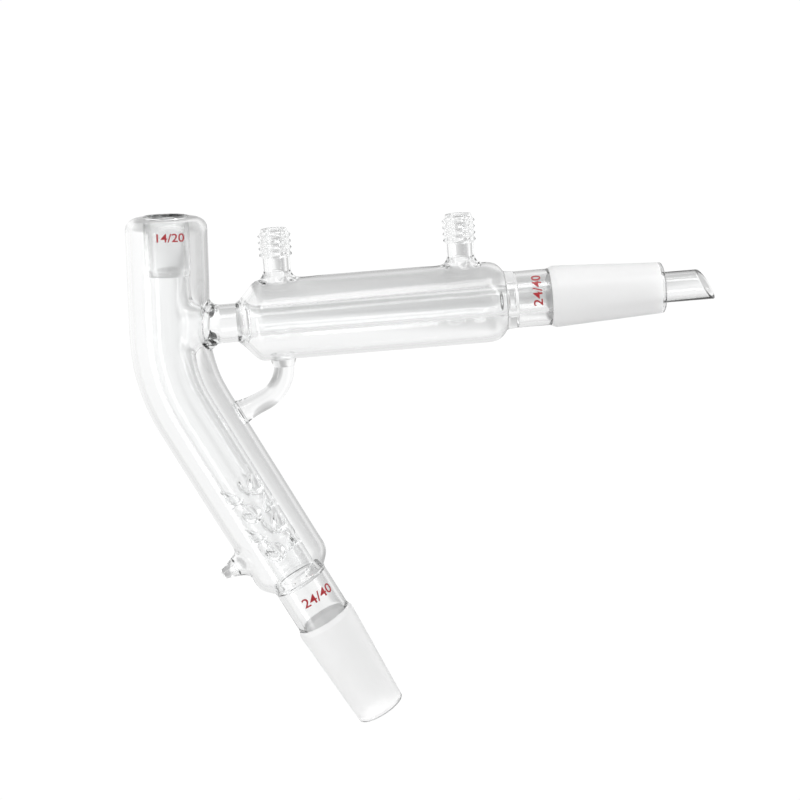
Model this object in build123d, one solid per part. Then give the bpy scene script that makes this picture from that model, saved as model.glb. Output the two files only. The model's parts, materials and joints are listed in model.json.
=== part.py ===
from build123d import *

import math
import os

# A vacuum-jacketed distillation head with a condenser built on, all of borosilicate glass.
#
# Millimetres, +Z up, in the pose of use. The origin is the centre of the flask cone's gauge plane,
# its 24 mm end. The cone points down along -Z, and +X runs towards the receiver. The plane XZ is
# the plane of symmetry, so every axis of the head lies in it.
#
# Three straight axes carry the glass:
#   lower   along +Z, for the flask cone and the lower part of the column
#   upper   leaning towards +X after the column's bend, for the thermometer socket
#   slope   running down towards +X from the foot of the upper axis, for the condenser

# Directions, in degrees
COLUMN_LEAN = 29.6
CONDENSER_DROP = 26.6

# Standard tapers: a diameter falls by one part in ten along the length. The cones are ground for
# 1 mm more than the 40 mm that the size calls for
TAPER = 0.1
CONE_GAUGE_R = 12.0
CONE_GROUND = 41.0
THERMO_GAUGE_R = 7.25
THERMO_GROUND = 20.0

# Tubes: outside radius and wall
JACKET_R, JACKET_WALL = 15.7, 1.6
COLUMN_R, COLUMN_WALL = 8.5, 1.3
NECK_R, NECK_WALL = 11.0, 1.7
ARM_R, ARM_WALL = 7.5, 1.4
CONDENSER_R, CONDENSER_WALL = 15.7, 1.6
VAPOUR_R, VAPOUR_WALL = 6.0, 1.3
ROD_R, ROD_BEND = 4.0, 14.5

# Heights on the lower axis
NECK_TOP = 19.6
SHOULDER_FOOT = 21.0
COLUMN_FOOT = 23.6
BEND_START = 99.7
BEND_R = 60.0

# Distances along the upper axis, from the end of the bend
CROSSING = 3.1
SOCKET_FOOT = 23.5
JACKET_TOP = 46.1
SOCKET_RIM = 46.5

# Distances along the sloping axis, from where it crosses the upper axis
ARM_START = 19.5
INLET_SEAL_START = 25.8
INLET_SEAL_END = 33.0
JACKET_START = 28.2
JACKET_END = 130.2
VAPOUR_END = 131.2
TIP_START = 133.6
OUTLET_SEAL_END = 134.4
RECEIVER_GAUGE = 149.6
TIP_SHORT = 205.2
TIP_LONG = 213.4
HOSE_AT = {"water_outlet": 42.8, "water_inlet": 114.0}

# How far the drip tip's slanted mouth is turned about its axis, from straight up towards -Y
TIP_TURN = 35.0

# The tee that the inner tube is blown into: distance along the sloping axis, half height,
# half width and how far its middle is above the axis
TEE = [
    (0.0, 12.6, 7.0, 0.8),
    (6.6, 12.4, 7.0, 0.8),
    (8.8, 10.6, 7.1, 0.5),
    (11.0, 9.0, 7.4, 0.2),
    (16.0, 7.9, 7.9, 0.0),
]

# Collar where the side arm passes through the column jacket
COLLAR_R = 9.8

# The condenser's sloping foot ring: outside and inside radius where its jacket starts
RING_R, RING_INNER_R = 9.6, 8.4

# Hose connections
HOSE_STEM_R = 5.3
HOSE_BORE_R = 3.4
HOSE_RIDGE_R = 6.4
HOSE_HEIGHT = 19.5
HOSE_RIDGES = 4
HOSE_PITCH = 2.45
HOSE_FLARE = 3.2

# Vigreux indentations: rows up the column, points in a row, and how far they reach in
DENT_FIRST = 37.6
DENT_ROWS = 4
DENT_PITCH = 8.9
DENTS_IN_ROW = 3
DENT_MOUTH_R = 2.6
DENT_TIP_R = 0.9
DENT_DEPTH = 6.6
DENT_DROP = 35.0
DENT_WALL = 1.0

# Seal-off tip of the vacuum jacket
TIP_OFF_HEIGHT = 37.8
TIP_OFF_BASE_R = 5.2
TIP_OFF_END_R = 1.3
TIP_OFF_REACH = 9.3

BEND_CENTRE = (BEND_R, 0, BEND_START)
LEAN = math.radians(COLUMN_LEAN)
BEND_END = (BEND_R * (1 - math.cos(LEAN)), 0, BEND_START + BEND_R * math.sin(LEAN))
UPPER = Location(BEND_END, (0, COLUMN_LEAN, 0))
SLOPE = Location((UPPER * Location((0, 0, CROSSING))).position, (0, 90 + CONDENSER_DROP, 0))


def turned(corners, rounds=None):
    """A solid turned about Z from (radius, height) corners, some of them rounded."""
    face = Face(Wire.make_polygon([Vector(r, 0, z) for r, z in corners], close=True))
    for number, radius in (rounds or {}).items():
        r, z = corners[number]
        corner = min(face.vertices(), key=lambda v: (Vector(v.X, v.Y, v.Z) - Vector(r, 0, z)).length)
        face = face.fillet_2d(radius, [corner])
    return Solid.revolve(face, 360, Axis.Z)


def rod(radius, start, end):
    """A round bar along Z."""
    return Pos(0, 0, start) * Solid.make_cylinder(radius, end - start)


def bend(radius):
    """The bent stretch of the column at a radius, solid."""
    disc = Pos(0, 0, BEND_START) * Face(Wire.make_circle(radius))
    return Solid.revolve(disc, COLUMN_LEAN, Axis(BEND_CENTRE, (0, 1, 0)))


def column_bar(radius, foot, top):
    """A solid bar along the whole column, from a height to a distance up the upper axis."""
    bar = rod(radius, foot, BEND_START) + bend(radius)
    return bar + UPPER * rod(radius, 0, top)


def joint_cone(start, gauge, wall_end_r=8.1):
    """A ground cone with its neck, drawn with the gauge plane at a height and the cone upwards."""
    end_r = CONE_GAUGE_R - CONE_GROUND * TAPER / 2
    end = gauge + CONE_GROUND
    bore = NECK_R - NECK_WALL
    corners = [
        (bore, start),
        (NECK_R, start),
        (NECK_R, gauge - 2.6),
        (CONE_GAUGE_R, gauge),
        (end_r, end),
        (end_r - 0.1, end + 1.6),
        (wall_end_r, end + 1.6),
        (bore, gauge),
    ]
    return turned(corners, {5: 0.8, 6: 0.8})


def flask_cone():
    """The ground cone that goes into the flask, with its clear neck, upside down on the lower axis."""
    return Rot(180, 0, 0) * joint_cone(-NECK_TOP, 0.0)


def lower_ring_seal():
    """The thick ring that joins neck, jacket and inner tube at the foot of the column."""
    column_bore = COLUMN_R - COLUMN_WALL
    shoulder_in = NECK_R + 0.4 - JACKET_WALL
    corners = [
        (NECK_R - NECK_WALL, NECK_TOP),
        (NECK_R, NECK_TOP),
        (NECK_R + 0.4, SHOULDER_FOOT),
        (shoulder_in, SHOULDER_FOOT),
        (COLUMN_R, COLUMN_FOOT),
        (column_bore, COLUMN_FOOT),
    ]
    return turned(corners)


def column_jacket():
    """The outer wall of the vacuum space, from the lower ring seal round the bend to the rim."""
    foot_r = NECK_R + 0.4
    rise = JACKET_R - foot_r
    outer = turned(
        [
            (0, SHOULDER_FOOT),
            (foot_r, SHOULDER_FOOT),
            (JACKET_R, SHOULDER_FOOT + rise),
            (JACKET_R, BEND_START),
            (0, BEND_START),
        ],
        {2: 6.0},
    )
    inner_r = JACKET_R - JACKET_WALL
    inner_foot_r = foot_r - JACKET_WALL
    skew = JACKET_WALL * (math.sqrt(2) - 1)
    inner = turned(
        [
            (0, SHOULDER_FOOT),
            (inner_foot_r, SHOULDER_FOOT),
            (inner_foot_r, SHOULDER_FOOT + skew),
            (inner_r, SHOULDER_FOOT + skew + rise),
            (inner_r, BEND_START),
            (0, BEND_START),
        ],
        {3: 4.4},
    )
    top_outer = turned(
        [(0, 0), (JACKET_R, 0), (JACKET_R, JACKET_TOP - 3.3), (JACKET_R - 4.6, JACKET_TOP), (0, JACKET_TOP)],
        {2: 4.2, 3: 6.5},
    )
    ceiling = JACKET_TOP - JACKET_WALL
    top_inner = turned(
        [(0, 0), (inner_r, 0), (inner_r, ceiling - 2.9), (inner_r - 3.9, ceiling), (0, ceiling)],
        {2: 3.0, 3: 5.0},
    )
    shell = outer + bend(JACKET_R) + UPPER * top_outer
    hollow = inner + bend(inner_r) + UPPER * top_inner
    mouth = UPPER * rod(COLUMN_R + 0.3, JACKET_TOP - 3, JACKET_TOP + 1)
    arm_hole = SLOPE * rod(COLLAR_R, 0, 30)
    port = Pos(0, 0, TIP_OFF_HEIGHT) * Rot(0, -90, 0) * rod(1.6, 0, JACKET_R + 1)
    return shell - hollow - mouth - arm_hole - port, hollow


def tee_horn(inset):
    """The horn of the tee, solid, with its wall taken off by an inset."""
    sections = []
    for distance, tall, wide, lift in TEE:
        place = SLOPE * Location((-lift, 0, distance))
        sections.append(place * Face(Wire.make_ellipse(tall - inset, wide - inset)))
    return Solid.make_loft([face.outer_wire() for face in sections])


def dents(wall):
    """The round-nosed points pushed into the column, as bars that run in and down."""
    bars = []
    for row in range(DENT_ROWS):
        height = DENT_FIRST + row * DENT_PITCH
        for number in range(DENTS_IN_ROW):
            angle = 360 / DENTS_IN_ROW * (number + 0.5 * (row % 2)) + 20
            aim = Rot(0, 0, angle) * Location((COLUMN_R + 1, 0, height)) * Rot(0, -90 - DENT_DROP, 0)
            reach = DENT_DEPTH + 1
            cone = Solid.make_cone(DENT_MOUTH_R + wall, DENT_TIP_R + wall, reach)
            nose = Pos(0, 0, reach) * Solid.make_sphere(DENT_TIP_R + wall, angle1=-90)
            bars.append(aim * (cone + nose))
    return bars


def column_tube(hollow):
    """The bent inner tube with its indentations, blown out into a tee towards the side arm."""
    bore_r = COLUMN_R - COLUMN_WALL
    outside = column_bar(COLUMN_R, COLUMN_FOOT, SOCKET_FOOT) + tee_horn(0)
    bore = column_bar(bore_r, COLUMN_FOOT, SOCKET_FOOT) + tee_horn(COLUMN_WALL)
    tube = outside - bore
    column = rod(COLUMN_R, COLUMN_FOOT, BEND_START)
    for skin, dent in zip(dents(DENT_WALL), dents(0)):
        tube = tube + (skin & column) - dent
    return tube & hollow


def thermometer_socket():
    """The ground socket for a thermometer, on the upper axis."""
    small_r = THERMO_GAUGE_R - THERMO_GROUND * TAPER / 2
    ground_foot = SOCKET_RIM - 0.6 - THERMO_GROUND
    outside = COLUMN_R + 0.3
    corners = [
        (COLUMN_R - COLUMN_WALL, SOCKET_FOOT),
        (COLUMN_R, SOCKET_FOOT),
        (outside, SOCKET_FOOT + 2),
        (outside, SOCKET_RIM),
        (THERMO_GAUGE_R + 0.5, SOCKET_RIM),
        (THERMO_GAUGE_R, SOCKET_RIM - 0.6),
        (small_r, ground_foot),
    ]
    return UPPER * turned(corners, {3: 0.5})


def side_arm_collar(jacket_hollow):
    """The ring that carries the side arm through the column jacket."""
    inner_r = ARM_R - ARM_WALL
    flange = SLOPE * rod(COLLAR_R, 6, 17)
    flange = flange & (rod(JACKET_R, 60, BEND_START) + bend(JACKET_R) + UPPER * rod(JACKET_R, 0, 30))
    flare = SLOPE * turned([(0, 8), (COLLAR_R, 8), (COLLAR_R, 15.2), (ARM_R, ARM_START), (0, ARM_START)])
    bore = SLOPE * rod(inner_r, 0, 30)
    return flange + flare - jacket_hollow - bore


def side_arm():
    """The short tube from the column to the condenser."""
    bore = rod(ARM_R - ARM_WALL, ARM_START, INLET_SEAL_START)
    return SLOPE * (rod(ARM_R, ARM_START, INLET_SEAL_START) - bore)


def condenser_inlet_seal():
    """The ring where the side arm meets the condenser's jacket and its inner tube."""
    inner_r = ARM_R - ARM_WALL
    corners = [
        (inner_r, INLET_SEAL_START),
        (ARM_R, INLET_SEAL_START),
        (RING_R, JACKET_START),
        (RING_INNER_R, JACKET_START + 1.2),
        (VAPOUR_R + 0.9, INLET_SEAL_END - 2.5),
        (VAPOUR_R, INLET_SEAL_END),
        (VAPOUR_R - VAPOUR_WALL, INLET_SEAL_END),
        (inner_r, INLET_SEAL_START + 3),
    ]
    return SLOPE * turned(corners)


def condenser_jacket():
    """The water jacket with a domed shoulder at each end and a hole under each hose connection."""
    inner_r = CONDENSER_R - CONDENSER_WALL
    outlet_r = NECK_R + 0.4
    corners = [
        (RING_INNER_R, JACKET_START + 1.2),
        (RING_R, JACKET_START),
        (CONDENSER_R, JACKET_START + 5.4),
        (CONDENSER_R, JACKET_END - 4.8),
        (outlet_r, JACKET_END),
        (outlet_r - CONDENSER_WALL, JACKET_END),
        (inner_r, JACKET_END - 5.6),
        (inner_r, JACKET_START + 6.2),
    ]
    shell = turned(corners, {2: 6.5, 3: 5.5, 6: 4.0, 7: 5.0})
    for distance in HOSE_AT.values():
        shell -= Pos(0, 0, distance) * Rot(0, -90, 0) * rod(HOSE_BORE_R, 5, CONDENSER_R + 5)
    return SLOPE * shell


def condenser_tube():
    """The straight inner tube that the vapour condenses in."""
    tube = rod(VAPOUR_R, INLET_SEAL_END, VAPOUR_END)
    return SLOPE * (tube - rod(VAPOUR_R - VAPOUR_WALL, INLET_SEAL_END, VAPOUR_END))


def condenser_outlet_seal():
    """The web that closes the water jacket and holds the inner tube in the receiver's neck."""
    corners = [
        (VAPOUR_R - VAPOUR_WALL, VAPOUR_END),
        (VAPOUR_R, VAPOUR_END),
        (NECK_R + 0.4 - CONDENSER_WALL, JACKET_END),
        (NECK_R + 0.4, JACKET_END),
        (NECK_R, OUTLET_SEAL_END),
        (NECK_R - NECK_WALL, OUTLET_SEAL_END),
        (VAPOUR_R, TIP_START),
        (VAPOUR_R - VAPOUR_WALL, TIP_START),
    ]
    return SLOPE * turned(corners)


def receiver_cone():
    """The ground cone that goes into the receiver, with its clear neck."""
    return SLOPE * joint_cone(OUTLET_SEAL_END, RECEIVER_GAUGE)


def drip_tip():
    """The tube inside the receiver cone, cut at a slant so that drops leave from one point."""
    tube = rod(VAPOUR_R, TIP_START, TIP_LONG) - rod(VAPOUR_R - VAPOUR_WALL, TIP_START, TIP_LONG)
    slant = math.degrees(math.atan2(TIP_LONG - TIP_SHORT, 2 * VAPOUR_R))
    middle = (TIP_LONG + TIP_SHORT) / 2
    cutter = Pos(0, 0, middle) * Rot(0, 0, TIP_TURN) * Rot(0, -slant, 0) * Pos(0, 0, 20) * Box(60, 60, 40)
    return SLOPE * (tube - cutter)


def hose_connection(distance):
    """A ridged hose connection that stands on the condenser's upper side."""
    base = CONDENSER_R
    corners = [(HOSE_BORE_R, base - 4), (HOSE_STEM_R + HOSE_FLARE, base - 4)]
    corners += [(HOSE_STEM_R + HOSE_FLARE, base - 0.4), (HOSE_STEM_R + 0.8, base + 1.4)]
    corners += [(HOSE_STEM_R, base + HOSE_FLARE)]
    ridge_foot = base + HOSE_HEIGHT - 1.2 - HOSE_RIDGES * HOSE_PITCH
    for number in range(HOSE_RIDGES):
        height = ridge_foot + number * HOSE_PITCH
        corners += [(HOSE_STEM_R, height), (HOSE_RIDGE_R, height + 0.7)]
        corners += [(HOSE_RIDGE_R - 0.1, height + 1.1)]
    corners += [(HOSE_STEM_R, base + HOSE_HEIGHT - 1.2), (HOSE_STEM_R, base + HOSE_HEIGHT)]
    corners += [(HOSE_BORE_R, base + HOSE_HEIGHT)]
    piece = Pos(0, 0, distance) * Rot(0, -90, 0) * turned(corners)
    return SLOPE * (piece - rod(CONDENSER_R, distance - 15, distance + 15))


def bridge_rod():
    """The bent rod that braces the condenser against the column."""
    path = FilletPolyline((41.9, 0, 102.2), (35.0, 0, 88.4), (14.0, 0, 89.7), radius=ROD_BEND)
    section = Plane(path @ 0, z_dir=path % 0) * Circle(ROD_R)
    bar = sweep(section, path)
    column = rod(JACKET_R, 60, BEND_START) + bend(JACKET_R)
    return bar.solid() - column - SLOPE * rod(CONDENSER_R, 30, 60)


def seal_off_tip():
    """The melted point where the vacuum space was pumped out and sealed."""
    corners = [
        (0, JACKET_R - 3),
        (TIP_OFF_BASE_R, JACKET_R - 3),
        (TIP_OFF_BASE_R, JACKET_R - 0.6),
        (3.3, JACKET_R + 2.6),
        (1.9, JACKET_R + TIP_OFF_REACH - 1.4),
        (TIP_OFF_END_R, JACKET_R + TIP_OFF_REACH),
        (0, JACKET_R + TIP_OFF_REACH),
    ]
    point = Pos(0, 0, TIP_OFF_HEIGHT) * Rot(0, -90, 0) * turned(corners, {5: 0.8})
    return point - rod(JACKET_R, 20, 60)


def save(node, shape):
    """Writes one node's solid to its own file."""
    solids = shape.solids()
    export_step(Compound(children=list(solids)) if len(solids) > 1 else solids[0], f"parts/{node}.step")


os.makedirs("parts", exist_ok=True)
jacket, vacuum = column_jacket()
save("flask_cone", flask_cone())
save("lower_ring_seal", lower_ring_seal())
save("column_jacket", jacket)
save("column_tube", column_tube(vacuum))
save("thermometer_socket", thermometer_socket())
save("side_arm_collar", side_arm_collar(vacuum))
save("side_arm", side_arm())
save("condenser_inlet_seal", condenser_inlet_seal())
save("condenser_jacket", condenser_jacket())
save("condenser_tube", condenser_tube())
save("condenser_outlet_seal", condenser_outlet_seal())
save("receiver_cone", receiver_cone())
save("drip_tip", drip_tip())
for name, distance in HOSE_AT.items():
    save(name, hose_connection(distance))
save("bridge_rod", bridge_rod())
save("seal_off_tip", seal_off_tip())
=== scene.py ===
"""A vacuum-jacketed distillation head of borosilicate glass, built piece by piece around its frame."""

import json
import math

import bmesh
import bpy
from bpy.props import FloatProperty, FloatVectorProperty, IntProperty, PointerProperty
from mathutils import Matrix, Vector


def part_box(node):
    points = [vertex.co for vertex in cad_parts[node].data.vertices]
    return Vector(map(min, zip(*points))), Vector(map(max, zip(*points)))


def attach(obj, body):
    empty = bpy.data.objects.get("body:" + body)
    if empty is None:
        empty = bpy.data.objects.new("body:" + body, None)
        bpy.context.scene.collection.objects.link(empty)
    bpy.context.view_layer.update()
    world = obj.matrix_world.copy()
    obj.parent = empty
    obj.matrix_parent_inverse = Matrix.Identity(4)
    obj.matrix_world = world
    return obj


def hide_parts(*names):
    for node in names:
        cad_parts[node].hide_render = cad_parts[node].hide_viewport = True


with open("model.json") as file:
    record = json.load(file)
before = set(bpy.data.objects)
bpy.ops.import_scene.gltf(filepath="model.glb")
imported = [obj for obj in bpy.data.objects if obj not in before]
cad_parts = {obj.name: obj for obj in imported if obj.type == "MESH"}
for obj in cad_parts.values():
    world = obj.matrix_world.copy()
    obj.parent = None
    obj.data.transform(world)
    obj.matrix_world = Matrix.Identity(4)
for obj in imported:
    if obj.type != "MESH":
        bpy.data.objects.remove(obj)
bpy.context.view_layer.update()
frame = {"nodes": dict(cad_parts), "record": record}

bl_info = {
    "name": "Distillation Head",
    "version": (1, 0, 0),
    "blender": (4, 5, 0),
    "location": "View3D > Sidebar > Glassware",
    "description": "Builds a jacketed distillation head with its condenser, joints and studio",
    "category": "Add Mesh",
}

# ---------------------------------------------------------------------------------------------
# Places, read from the frame. Lengths are in metres.

MM = 0.001
MOUNTS = {mount["name"]: mount for mount in frame["record"]["mounts"]}
UP = Vector(MOUNTS["thermometer_socket"]["axis"])
ALONG = Vector(MOUNTS["receiver_cone"]["axis"])
LEAN = math.atan2(UP.x, UP.z)
DROP = math.atan2(-ALONG.z, ALONG.x)


def place_of(mount):
    """Where a mount is."""
    return Vector(MOUNTS[mount]["pos_m"])


def meeting(point, direction, other, other_direction):
    """Where two lines of the plane XZ meet."""
    gap = other - point
    turn = direction.x * other_direction.z - direction.z * other_direction.x
    return point + direction * ((gap.x * other_direction.z - gap.z * other_direction.x) / turn)


ELBOW = meeting(Vector(), Vector((0, 0, 1)), place_of("thermometer_socket"), UP)
CROSSING = meeting(place_of("thermometer_socket"), UP, place_of("receiver_cone"), ALONG)
LOWER = Matrix.Identity(4)
UPPER = Matrix.Translation(CROSSING) @ Matrix.Rotation(LEAN, 4, "Y")
SLOPE = Matrix.Translation(CROSSING) @ Matrix.Rotation(math.pi / 2 + DROP, 4, "Y")


def measure(node, axis, low=-math.inf, high=math.inf):
    """A CAD node about an axis: its first and last distance, and its least and greatest radius."""
    inverse = axis.inverted()
    points = [inverse @ vertex.co for vertex in frame["nodes"][node].data.vertices]
    points = [point for point in points if low <= point.z <= high]
    heights = [point.z for point in points]
    radii = [point.xy.length for point in points]
    return min(heights), max(heights), min(radii), max(radii)


JACKET_R = measure("column_jacket", LOWER, 0.03, 0.09)[3]
NECK_TOP, COLUMN_FOOT, COLUMN_BORE, FOOT_R = measure("lower_ring_seal", LOWER)
SOCKET_FOOT, SOCKET_RIM, SOCKET_BORE, SOCKET_R = measure("thermometer_socket", UPPER)
JACKET_TOP = measure("column_jacket", UPPER)[1]
ARM_START, SEAL_START, ARM_BORE, ARM_R = measure("side_arm", SLOPE)
RING_START, SHELL_END, RING_BORE, SHELL_R = measure("condenser_jacket", SLOPE)
RING_R = measure("condenser_jacket", SLOPE, RING_START - MM, RING_START + 0.5 * MM)[3]
SEAL_END, VAPOUR_END, VAPOUR_BORE, VAPOUR_R = measure("condenser_tube", SLOPE)
OUTLET_END = measure("condenser_outlet_seal", SLOPE)[1]
NECK_START, CONE_END = measure("receiver_cone", SLOPE)[:2]
TIP_START, TIP_END = measure("drip_tip", SLOPE)[:2]
TIP_SHORT = measure("drip_tip", SLOPE, TIP_START + MM)[0]
GAUGE = (place_of("receiver_cone") - CROSSING).dot(ALONG)
NECK_BORE, NECK_R = measure("receiver_cone", SLOPE, NECK_START - MM, NECK_START + MM)[2:]
CONE_R = measure("receiver_cone", SLOPE, GAUGE - MM, GAUGE + MM)[3]
SHOULDER_FOOT = measure("column_jacket", LOWER, -1, 0.06)[0]
COLUMN_R = measure("column_tube", LOWER, -1, COLUMN_FOOT + MM)[3]
TIP_OFF_HEIGHT = sum(corner.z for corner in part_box("seal_off_tip")) / 2
TIP_OFF_END = -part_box("seal_off_tip")[0].x
HOSES = {name: (place_of(name) - CROSSING).dot(ALONG) for name in ("water_outlet", "water_inlet")}
HOSE_TOP = (place_of("water_outlet") - CROSSING).cross(ALONG).length

SIDES = 16
STUB_SIDES = 8


def widening(sides):
    """How much wider a hoop of a subdivided skin is drawn than the round that it becomes."""
    return 3 / (2 + math.cos(2 * math.pi / sides))


# ---------------------------------------------------------------------------------------------
# What a user would change

class HeadSizes(bpy.types.PropertyGroup):
    """Sizes of the glass that the frame doesn't fix."""

    bend_radius: FloatProperty(
        name="Bend radius", description="Radius of the column's bend along its middle",
        default=60 * MM, unit="LENGTH")
    jacket_wall: FloatProperty(
        name="Jacket wall", description="Wall of the column jacket and the condenser jacket",
        default=1.6 * MM, unit="LENGTH")
    dent_rows: IntProperty(
        name="Dent rows", description="Rows of points up the column", default=4, min=0)
    dents_in_row: IntProperty(
        name="Dents in a row", description="Points round the column in each row", default=3, min=1)
    dent_first: FloatProperty(
        name="First row", description="Height of the lowest row of points", default=37.6 * MM,
        unit="LENGTH")
    dent_pitch: FloatProperty(
        name="Row pitch", description="Height from one row of points to the next",
        default=8.9 * MM, unit="LENGTH")
    dent_reach: FloatProperty(
        name="Dent reach", description="How far a point is pushed in", default=6.2 * MM,
        unit="LENGTH")
    dent_mouth: FloatProperty(
        name="Dent mouth", description="Radius of a point where it starts", default=2.6 * MM,
        unit="LENGTH")
    ridges: IntProperty(
        name="Hose ridges", description="Ridges on a hose connection", default=4, min=1)
    ridge_pitch: FloatProperty(
        name="Ridge pitch", description="Distance from ridge to ridge", default=2.45 * MM,
        unit="LENGTH")
    rod_radius: FloatProperty(
        name="Bridge rod radius", description="Radius of the rod that braces the condenser",
        default=4 * MM, unit="LENGTH")


class HeadFinish(bpy.types.PropertyGroup):
    """Colours and polish of the glass and its print."""

    glass_tint: FloatVectorProperty(
        name="Glass tint", description="Colour that each glass surface lets through",
        default=(0.985, 0.987, 0.987), size=3, subtype="COLOR", min=0, max=1)
    glass_ior: FloatProperty(
        name="Refraction", description="Index of refraction of the glass", default=1.474)
    glass_density: FloatProperty(
        name="Depth of tint", description="How fast thick glass turns grey", default=8.0)
    ground_roughness: FloatProperty(
        name="Ground roughness", description="Roughness of the ground tapers", default=0.42,
        subtype="FACTOR", min=0, max=1)
    ground_clearness: FloatProperty(
        name="Ground clearness", description="Share of the light that ground glass lets through",
        default=0.5, subtype="FACTOR", min=0, max=1)
    print_width: FloatProperty(
        name="Print width", description="Width of the numerals against the font's own",
        default=1.16)
    print_colour: FloatVectorProperty(
        name="Print", description="Colour of the fired size numerals",
        default=(0.3, 0.008, 0.014), size=3, subtype="COLOR", min=0, max=1)


class StudioSettings(bpy.types.PropertyGroup):
    """Camera, backdrop and lights."""

    camera_turn: FloatProperty(
        name="Camera turn", description="Angle of the camera round the head",
        default=math.radians(1.68), subtype="ANGLE")
    camera_height: FloatProperty(
        name="Camera height", description="Angle of the camera above the horizon",
        default=math.radians(10.71), subtype="ANGLE")
    camera_roll: FloatProperty(
        name="Camera roll", description="Turn of the camera about its own line of sight",
        default=math.radians(31.31), subtype="ANGLE")
    camera_distance: FloatProperty(
        name="Camera distance", description="Distance of the camera from the head's plane",
        default=0.8139, unit="LENGTH")
    camera_lens: FloatProperty(
        name="Lens", description="Focal length in millimetres", default=93.66)
    backdrop: FloatProperty(
        name="Backdrop", description="Brightness of the backdrop behind the glass", default=1.25)
    floor_depth: FloatProperty(
        name="Floor depth", description="Distance of the floor below the flask cone's plane",
        default=0.32, unit="LENGTH")


def sizes():
    """The sizes in use."""
    return bpy.context.scene.head_sizes


def look():
    """The finish in use."""
    return bpy.context.scene.head_finish


# ---------------------------------------------------------------------------------------------
# Materials

def new_material(name):
    """An empty material, its node tree and its output."""
    material = bpy.data.materials.new(name)
    material.use_nodes = True
    tree = material.node_tree
    tree.nodes.clear()
    return material, tree, tree.nodes.new("ShaderNodeOutputMaterial")


def add_node(tree, kind, values):
    """A new node with some of its sockets set, by name."""
    made = tree.nodes.new(kind)
    for socket, value in values.items():
        made.inputs[socket].default_value = value
    return made


def glass_shader(tree, output, tint, roughness, clearness):
    """A glass surface with grey depth behind it."""
    surface = add_node(tree, "ShaderNodeBsdfPrincipled", {
        "Base Color": (*tint, 1), "Roughness": roughness, "IOR": look().glass_ior,
        "Transmission Weight": clearness})
    depth = add_node(tree, "ShaderNodeVolumeAbsorption", {
        "Color": (0.62, 0.64, 0.64, 1), "Density": look().glass_density})
    tree.links.new(surface.outputs["BSDF"], output.inputs["Surface"])
    tree.links.new(depth.outputs["Volume"], output.inputs["Volume"])
    return surface


def noise(tree, scale, detail):
    """Noise over a piece's own coordinates."""
    where = tree.nodes.new("ShaderNodeTexCoord")
    grain = add_node(tree, "ShaderNodeTexNoise", {"Scale": scale, "Detail": detail})
    tree.links.new(where.outputs["Object"], grain.inputs["Vector"])
    return grain


def bump(tree, grain, surface, strength, distance):
    """Relief from a noise."""
    relief = add_node(tree, "ShaderNodeBump", {"Strength": strength, "Distance": distance})
    tree.links.new(grain.outputs["Fac"], relief.inputs["Height"])
    tree.links.new(relief.outputs["Normal"], surface.inputs["Normal"])


def clear_glass():
    """Fire-polished glass with the faint waviness of drawn tube."""
    if "drawn_glass" in bpy.data.materials:
        return bpy.data.materials["drawn_glass"]
    material, tree, output = new_material("drawn_glass")
    surface = glass_shader(tree, output, look().glass_tint, 0, 1)
    bump(tree, noise(tree, 90, 2), surface, 0.25, 0.05 * MM)
    return material


def ground_glass(name, matt, clearness):
    """Glass ground matt for a joint: fine grain, with slightly polished patches."""
    if name in bpy.data.materials:
        return bpy.data.materials[name]
    material, tree, output = new_material(name)
    surface = glass_shader(tree, output, (0.99, 0.99, 0.99), matt, clearness)
    spread = add_node(tree, "ShaderNodeMapRange", {"To Min": matt * 0.8, "To Max": matt * 1.2})
    tree.links.new(noise(tree, 220, 4).outputs["Fac"], spread.inputs["Value"])
    tree.links.new(spread.outputs["Result"], surface.inputs["Roughness"])
    bump(tree, noise(tree, 5200, 2), surface, 0.5, 0.04 * MM)
    return material


def ground_cone():
    """The outside of a cone, which catches the light from the front."""
    return ground_glass("ground_cone", look().ground_roughness, look().ground_clearness)


def ground_bore():
    """The inside of a socket, ground more finely."""
    return ground_glass("ground_bore", look().ground_roughness / 2, 1)


def print_enamel():
    """Fired red enamel of the size numerals, a little uneven."""
    material, tree, output = new_material("print_enamel")
    surface = add_node(tree, "ShaderNodeBsdfPrincipled", {"Roughness": 0.4})
    tone = tree.nodes.new("ShaderNodeValToRGB")
    colour = Vector(look().print_colour)
    tone.color_ramp.elements[0].color = (*(colour * 0.8), 1)
    tone.color_ramp.elements[1].color = (*(colour * 1.25), 1)
    tree.links.new(noise(tree, 1500, 3).outputs["Fac"], tone.inputs["Fac"])
    tree.links.new(tone.outputs["Color"], surface.inputs["Base Color"])
    tree.links.new(surface.outputs["BSDF"], output.inputs["Surface"])
    return material


# ---------------------------------------------------------------------------------------------
# Mesh tools

SHARP = math.radians(38)


def placed(name, data):
    """An object in the scene."""
    made = bpy.data.objects.new(name, data)
    bpy.context.scene.collection.objects.link(made)
    return made


def mesh_piece(name, bm, materials):
    """A bmesh as an object, with smooth faces and sharp rims."""
    bmesh.ops.remove_doubles(bm, verts=bm.verts, dist=0.002 * MM)
    bmesh.ops.recalc_face_normals(bm, faces=bm.faces)
    for face in bm.faces:
        face.smooth = True
    for edge in bm.edges:
        edge.smooth = len(edge.link_faces) == 2 and edge.calc_face_angle() < SHARP
    mesh = bpy.data.meshes.new(name)
    bm.to_mesh(mesh)
    bm.free()
    for material in materials:
        mesh.materials.append(material)
    return placed(name, mesh)


def stand_for(piece, nodes):
    """The piece takes the place of CAD nodes."""
    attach(piece, "root")
    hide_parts(*nodes)
    return piece


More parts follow.
